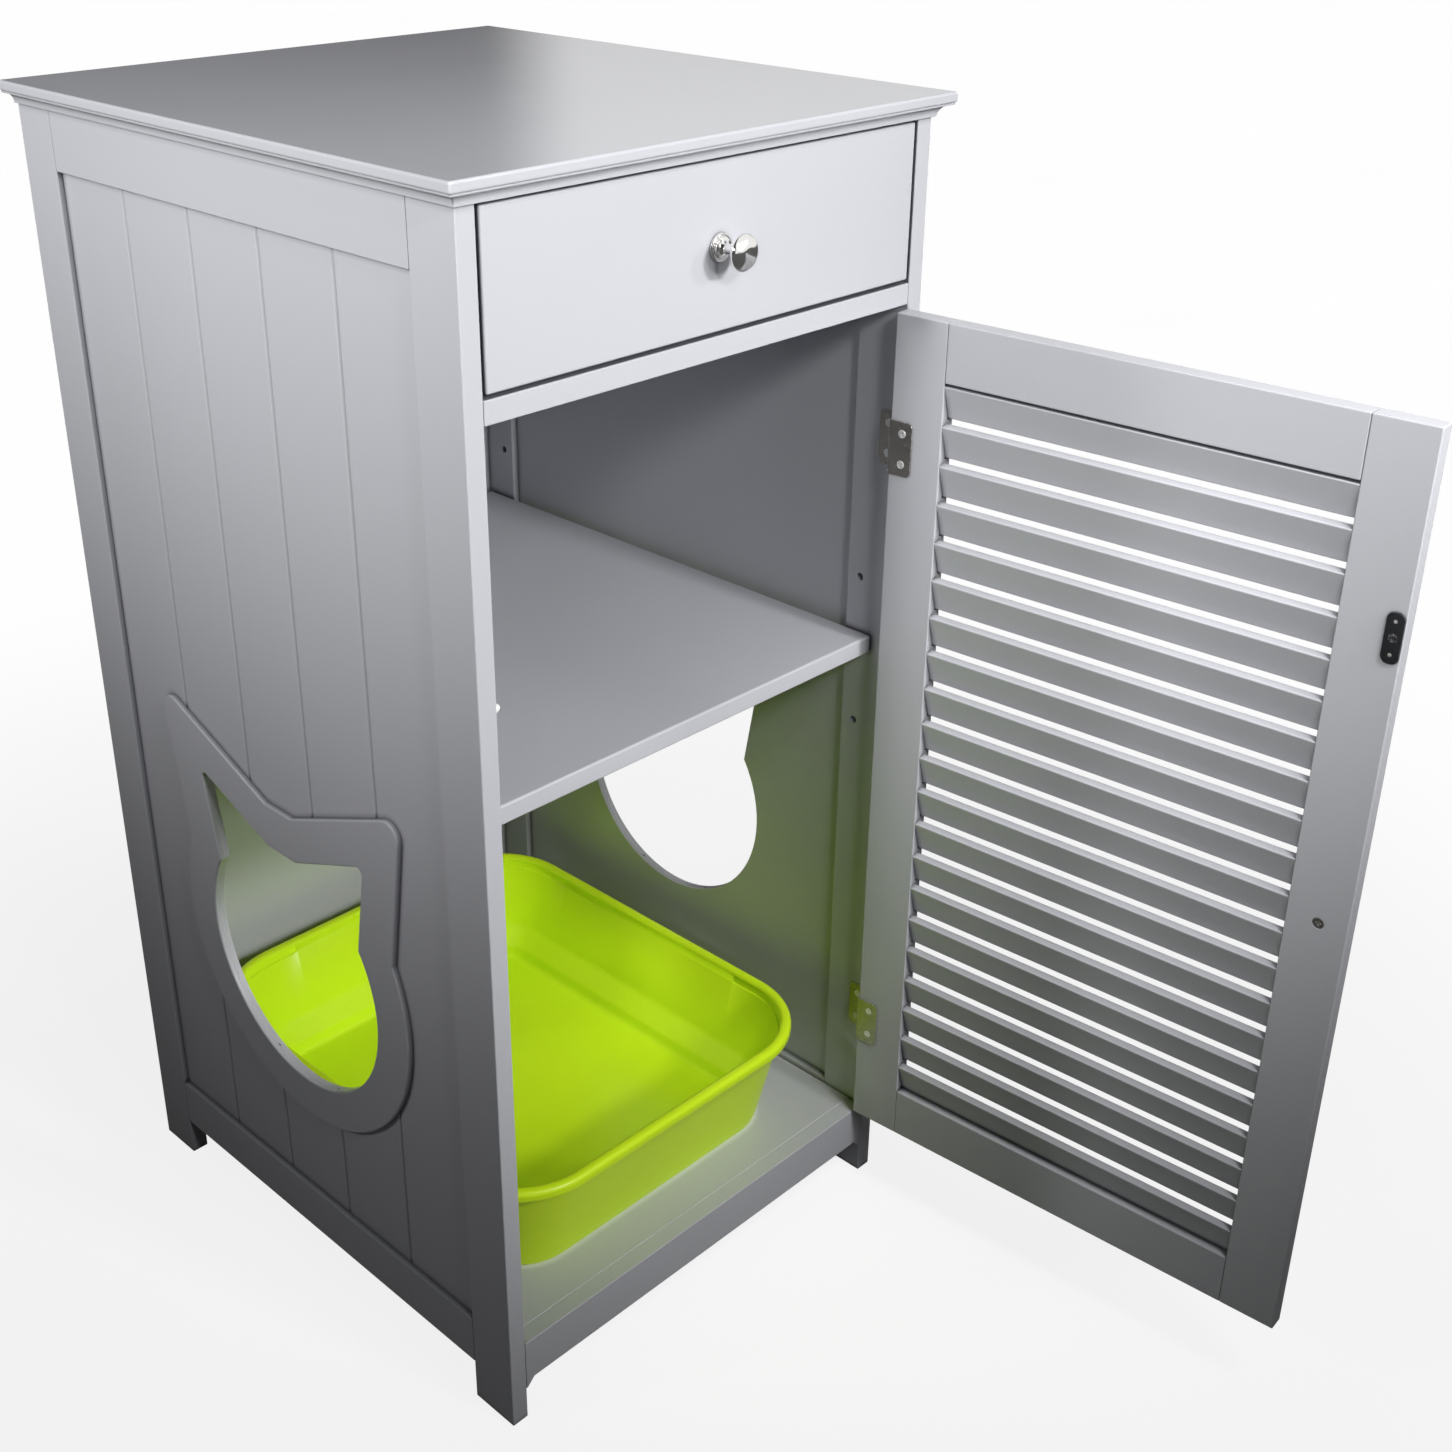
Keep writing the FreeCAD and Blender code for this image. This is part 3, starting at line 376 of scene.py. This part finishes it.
def plainLook(name, light, dark, roughness, scale, stretch=(1, 1, 1), highlightGain=0.0):
    look = newLook(name)
    cloud = look.noise(look.place(stretch), scale, plain["detail"])
    eased = look.softEdge(plain["edge"])
    shade = look.mixed(cloud, tone(dark), tone(light))
    spread = plain["roughnessSpread"]
    # painted highlight: edges lightened towards white, as strong as the gain
    return look.surface({
        "Base Color": look.mixed(look.arris(eased, highlightGain), shade, white),
        "Roughness": cloud * spread + (roughness - spread / 2),
        "Normal": look.bump(cloud, plain["bumpStrength"], plain["bumpDepth"], eased),
    })


paintX = paintLook("greyPaintX", 0, paint["satin"])
paintY = paintLook("greyPaintY", 1, paint["satin"])
paintZ = paintLook("greyPaintZ", 2, paint["satin"])
paintTop = paintLook("greyPaintTop", 1, paint["polished"])
# the panels' grooves get a stronger painted highlight
paintBoards = paintLook("greyPaintBoards", 2, paint["satin"], paint["grooveHighlightGain"])
# on the floor board, corners get a painted highlight in place of painted shade
paintFloor = paintLook("greyPaintFloor", 0, paint["satin"], paintedCornerTone=paint["paintedHighlight"])
limePlastic = plasticLook()
# the last number given to nickelSteel, screwSteel and blackSteel sets their painted edge highlight
polishedChrome = metalLook("polishedChrome", (0.87, 0.86, 0.84), 0.10, 0.05, 60.0)
nickelSteel = metalLook("nickelSteel", (0.36, 0.34, 0.30), 0.24, 0.06, 90.0, 0.0005, 5.0)
screwSteel = metalLook("screwSteel", (0.90, 0.88, 0.85), 0.30, 0.05, 90.0, 0.0009, 30.0)
blackSteel = plainLook(
    "blackSteel", (0.022, 0.023, 0.026), (0.012, 0.012, 0.014), 0.14, 300.0, highlightGain=3.0)
whiteNylon = plainLook("whiteNylon", (0.86, 0.86, 0.84), (0.80, 0.80, 0.78), 0.40, 200.0)
ferriteBlock = plainLook("ferriteBlock", (0.09, 0.09, 0.10), (0.06, 0.06, 0.065), 0.6, 900.0)
beechWood = plainLook("beechWood", (0.62, 0.45, 0.28), (0.52, 0.35, 0.20), 0.55, 240.0, (0.06, 1, 1))

slotLooks = {
    "chrome": polishedChrome, "steel": nickelSteel, "black_steel": blackSteel,
    "white_nylon": whiteNylon, "green_plastic": limePlastic, "ferrite": ferriteBlock, "beech": beechWood,
}
ownLooks = {  # nodes whose grain or finish isn't the usual one of their slot
    paintX: ["apron", "back_bottom_rail", "back_top_rail", "cornice_front", "drawer_back", "drawer_front",
             "drawer_rail", "front_top_rail", "shelf"],
    paintY: ["cornice_left", "cornice_right", "door_bottom_rail", "door_top_rail", "louvre_slats",
             "drawer_bottom", "drawer_left_side", "drawer_right_side", "left_bottom_rail", "left_top_rail",
             "right_bottom_rail", "right_top_rail", "left_floor_cleat", "right_floor_cleat",
             "left_drawer_runner", "right_drawer_runner"],
    paintTop: ["top_board"],
    paintBoards: ["left_panel", "right_panel", "back_panel"],
    paintFloor: ["floor_board"],
    screwSteel: ["door_hinge_screws", "frame_hinge_screws", "strike_plate_screw", "catch_screws"],
}


def dressNodes():
    slots = {part["node"]: part["material_slot"] for part in frame["record"]["subparts"]}
    special = {name: look for look, names in ownLooks.items() for name in names}
    for name, node in frame["nodes"].items():
        usual = paintZ if slots[name] == "grey_paint" else slotLooks[slots[name]]
        look = special.get(name, usual)
        node.data.materials.clear()
        node.data.materials.append(look)


dressNodes()
print("materials on")

hair = 1e-6  # metres, below which two points are one


def softened(corners, steps):
    # rounds each corner (a, b, radius) of an open profile into short runs
    points = [Vector(corners[0][:2])]
    for before, here, after in zip(corners, corners[1:], corners[2:]):
        corner, radius = Vector(here[:2]), here[2]
        if radius == 0:
            points.append(corner)
            continue
        back = (Vector(before[:2]) - corner).normalized()
        ahead = (Vector(after[:2]) - corner).normalized()
        half = back.angle(ahead) / 2
        start, end = corner + back * (radius / math.tan(half)), corner + ahead * (radius / math.tan(half))
        centre = corner + (back + ahead).normalized() * (radius / math.sin(half))
        sweep = (start - centre).angle_signed(end - centre)
        for step in range(steps + 1):
            points.append(centre + Matrix.Rotation(-sweep * step / steps, 2) @ (start - centre))
    points.append(Vector(corners[-1][:2]))
    return points


def spun(shape, centre, axis):
    # turns a (radius, height) profile into a closed solid standing on centre along axis
    bm = bmesh.new()
    profile = softened(shape["profile"], shape["softSteps"])
    line = [bm.verts.new((point.x, 0, point.y)) for point in profile]
    edges = [bm.edges.new(pair) for pair in zip(line, line[1:])]
    bmesh.ops.spin(bm, geom=line + edges, cent=(0, 0, 0), axis=(0, 0, 1), angle=math.tau,
                   steps=shape["steps"], use_merge=True, use_duplicate=False)
    bmesh.ops.remove_doubles(bm, verts=bm.verts[:], dist=hair)
    bmesh.ops.recalc_face_normals(bm, faces=bm.faces[:])
    turn = Vector((0, 0, 1)).rotation_difference(Vector(axis)).to_matrix().to_4x4()
    bmesh.ops.transform(bm, matrix=Matrix.Translation(centre) @ turn, verts=bm.verts[:])
    return bm


def footOf(name, axis):
    # the middle of the end of a node that lies farthest back along axis, and the node's length
    node = frame["nodes"][name]
    points = [node.matrix_world @ vert.co for vert in node.data.vertices]
    foot = Vector((0, 0, 0))
    along, sideways = Vector(axis), Vector((axis[1], -axis[0], 0))
    for direction in (along, sideways, Vector((0, 0, 1))):
        reach = [point.dot(direction) for point in points]
        if direction is along:
            foot += direction * min(reach)
            length = max(reach) - min(reach)
        else:
            foot += direction * (min(reach) + max(reach)) / 2
    return foot, length


def finishPiece(name, bm, look, body, crease):
    mesh = bpy.data.meshes.new(name)
    bm.to_mesh(mesh)
    bm.free()
    mesh.materials.append(look)
    mesh.shade_smooth()
    mesh.set_sharp_from_angle(angle=math.radians(crease))
    piece = bpy.data.objects.new(name, mesh)
    bpy.context.scene.collection.objects.link(piece)
    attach(piece, body)
    return piece


litterPan = {
    # profiles are (inset, height, rounding), from the rim's outer edge inward
    "corner": 0.073, "cornerSteps": 14, "softSteps": 6, "crease": 50,
    "lip": [(0.0, 0.0905, 0), (0.0, 0.0950, 0.0042), (0.0092, 0.0950, 0.0036), (0.0093, 0.0905, 0)],
    "pocket": [(0.0093, 0.0905, 0), (0.0104, 0.0850, 0)],
    "ledge": [(0.0104, 0.0850, 0), (0.0106, 0.0844, 0)],
    "pocketDepth": 0.0011, "pocketArm": 0.098, "pocketEnd": 0.0007,
    "inside": [(0.0106, 0.0844, 0), (0.0240, 0.0290, 0.014), (0.0375, 0.0140, 0.008),
               (0.0398, 0.0025, 0.005), (0.0600, 0.0025, 0)],
    "outside": [(0.0, 0.0905, 0), (0.0, 0.0866, 0.0009), (0.0022, 0.0866, 0.0009), (0.0024, 0.0925, 0.001),
                (0.0065, 0.0925, 0.001), (0.0256, 0.0102, 0.0030), (0.0280, 0.0020, 0.0015),
                (0.0300, 0.0, 0.0010), (0.0420, 0.0, 0)],
}


def panDisc(low, high, z):
    bm = bmesh.new()
    corners = [bm.verts.new((x, y, z)) for x, y in (
        (low.x, low.y), (high.x, low.y), (high.x, high.y), (low.x, high.y))]
    bm.faces.new(corners)
    bmesh.ops.bevel(bm, geom=corners, offset=litterPan["corner"], segments=litterPan["cornerSteps"],
                    affect="VERTICES", profile=0.5, material=-1)
    arm = litterPan["pocketArm"]
    for axis in (0, 1):
        for place, inward in ((low[axis] + arm, 1), (high[axis] - arm, -1)):
            splitRim(bm, axis, place)
            splitRim(bm, axis, place + inward * litterPan["pocketEnd"])
    return bm


def splitRim(bm, axis, place):
    for edge in bm.edges[:]:
        first, second = edge.verts
        start, end = first.co[axis], second.co[axis]
        if min(start, end) < place - hair and max(start, end) > place + hair:
            bmesh.utils.edge_split(edge, first, (place - start) / (end - start))


def carried(bm, face, corners):
    # carries the face inward and up or down along the (inset, height) profile
    up = 1 if face.normal.z > 0 else -1
    stations = softened(corners, litterPan["softSteps"])
    for here, ahead in zip(stations, stations[1:]):
        bmesh.ops.inset_individual(bm, faces=[face], thickness=ahead.x - here.x,
                                   depth=up * (ahead.y - here.y), use_even_offset=True)
    return face.verts[:]


def makePan():
    low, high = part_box("litter_pan")
    bm = panDisc(low, high, low.z + litterPan["lip"][0][1])
    bm.faces.ensure_lookup_table()
    top = bm.faces[0]
    top.normal_update()
    if top.normal.z < 0:
        top.normal_flip()
    bottom = top.copy()
    bottom.normal_flip()
    bm.normal_update()
    carried(bm, bottom, litterPan["outside"])
    rim = carried(bm, top, litterPan["lip"])
    pocket = carried(bm, top, litterPan["pocket"])
    carried(bm, top, litterPan["ledge"])
    carried(bm, top, litterPan["inside"])
    carvePockets(rim + pocket, low, high)
    bmesh.ops.remove_doubles(bm, verts=bm.verts[:], dist=hair)
    bmesh.ops.recalc_face_normals(bm, faces=bm.faces[:])
    pan = finishPiece("litterPan", bm, limePlastic, "litter_pan", litterPan["crease"])
    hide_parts("litter_pan")


def carvePockets(verts, low, high):
    # shallow pockets under the rim at the four corners
    centre = (low + high) / 2
    reach = litterPan["pocketArm"] + litterPan["pocketEnd"] / 2
    for vert in verts:
        near = [min(vert.co[axis] - low[axis], high[axis] - vert.co[axis]) for axis in (0, 1)]
        if max(near) > reach:
            continue
        away = Vector((vert.co.x - centre.x, vert.co.y - centre.y, 0))
        for axis in (0, 1):
            away[axis] = math.copysign(max(litterPan["corner"] - near[axis], 0), away[axis])
        vert.co += away.normalized() * litterPan["pocketDepth"]


makePan()
print("litter pan made")

openDoor = {"turn": 94.0, "hinge": (0.1881, -0.234, 0)}
doorTurn = Matrix.Rotation(math.radians(openDoor["turn"]), 4, "Z")
toHinge = Matrix.Translation(openDoor["hinge"])
doorSwing = toHinge @ doorTurn @ toHinge.inverted()

turnedKnob = {
    "steps": 48, "softSteps": 5, "crease": 60,
    "profile": [  # (radius, height, rounding)
        (0.0, 0.0, 0), (0.0090, 0.0, 0.0003), (0.0090, 0.0013, 0.0005), (0.0082, 0.0021, 0.0006),
        (0.0069, 0.0022, 0.0004), (0.0068, 0.0036, 0.0006), (0.0046, 0.0040, 0.0008),
        (0.0032, 0.0062, 0.0020), (0.0031, 0.0125, 0.0040), (0.0060, 0.0160, 0.0030),
        (0.0112, 0.0187, 0.0014), (0.0118, 0.0208, 0.0018), (0.0097, 0.0232, 0.0060),
        (0.0050, 0.0252, 0.0120), (0.0, 0.0255, 0)],
}


def makeKnob(name, node, body, axis):
    foot, length = footOf(node, axis)
    knob = finishPiece(name, spun(turnedKnob, foot, axis), polishedChrome, body,
                       turnedKnob["crease"])
    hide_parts(node)
    print(name, "stands", round(length * 1000, 1), "mm proud")


makeKnob("drawerKnob", "drawer_knob", "drawer", (0, -1, 0))
makeKnob("doorKnob", "door_knob", "door", doorTurn.to_3x3() @ Vector((0, -1, 0)))

stopPeg = {
    "steps": 32, "softSteps": 4, "crease": 60,
    "profile": [
        (0.0, 0.0, 0), (0.0025, 0.0, 0.0002), (0.0025, 0.0075, 0), (0.0040, 0.0076, 0.0004),
        (0.0040, 0.0178, 0.0040), (0.0024, 0.0222, 0.0020), (0.0009, 0.0235, 0.0006), (0.0, 0.0235, 0)],
}


def makeStopPeg():
    axis = (1, 0, 0)
    foot, length = footOf("door_stop_peg", axis)
    peg = finishPiece("stopPeg", spun(stopPeg, foot, axis), whiteNylon, "cabinet",
                      stopPeg["crease"])
    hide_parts("door_stop_peg")
    print("stopPeg stands", round(length * 1000, 1), "mm proud")


makeStopPeg()

strikePlate = {
    "middle": (-0.1814, -0.221, 0.6245),  # on the inner face of the shut door
    "width": 0.0115, "height": 0.034, "thickness": 0.0012, "corner": 0.0051, "cornerSteps": 10,
    "arris": 0.0004, "arrisSteps": 3, "crease": 50,
    "dimple": 0.0017, "dimpleRise": 0.0002, "dimpleSpacing": 0.022, "dimpleSteps": (20, 12),
}


def makeStrikePlate():
    bm = bmesh.new()
    wide, tall = strikePlate["width"] / 2, strikePlate["height"] / 2
    corners = [bm.verts.new((x, y, 0)) for x, y in (
        (-wide, -tall), (wide, -tall), (wide, tall), (-wide, tall))]
    bm.faces.new(corners)
    bmesh.ops.bevel(bm, geom=corners, offset=strikePlate["corner"], segments=strikePlate["cornerSteps"],
                    affect="VERTICES", profile=0.5, material=-1)
    raised = bmesh.ops.extrude_face_region(bm, geom=bm.faces[:])["geom"]
    verts = [part for part in raised if isinstance(part, bmesh.types.BMVert)]
    bmesh.ops.translate(bm, vec=(0, 0, strikePlate["thickness"]), verts=verts)
    rim = [part for part in raised if isinstance(part, bmesh.types.BMEdge)]
    bmesh.ops.bevel(bm, geom=rim, offset=strikePlate["arris"], segments=strikePlate["arrisSteps"],
                    affect="EDGES", profile=0.5, material=-1)
    plateFaces = set(bm.faces)
    around, upwards = strikePlate["dimpleSteps"]
    middle = strikePlate["thickness"] / 2
    flat = (middle + strikePlate["dimpleRise"]) / strikePlate["dimple"]
    for side in (-1, 1):
        dimple = bmesh.ops.create_uvsphere(
            bm, u_segments=around, v_segments=upwards, radius=strikePlate["dimple"])["verts"]
        bmesh.ops.scale(bm, vec=(1, 1, flat), verts=dimple)
        bmesh.ops.translate(bm, vec=(0, side * strikePlate["dimpleSpacing"] / 2, middle), verts=dimple)
    for face in bm.faces:
        face.material_index = 0 if face in plateFaces else 1  # 1 is the bright steel of the dimples
    # from lying on its back to standing with its face towards the cabinet's inside
    upright = Matrix(((1, 0, 0, 0), (0, 0, 1, 0), (0, 1, 0, 0), (0, 0, 0, 1)))
    bmesh.ops.transform(bm, matrix=doorSwing @ Matrix.Translation(strikePlate["middle"]) @ upright,
                        verts=bm.verts[:])
    bmesh.ops.recalc_face_normals(bm, faces=bm.faces[:])
    plate = finishPiece("strikePlate", bm, blackSteel, "door", strikePlate["crease"])
    plate.data.materials.append(screwSteel)
    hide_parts("strike_plate")


makeStrikePlate()
print("small fittings made")

bpy.context.view_layer.update()
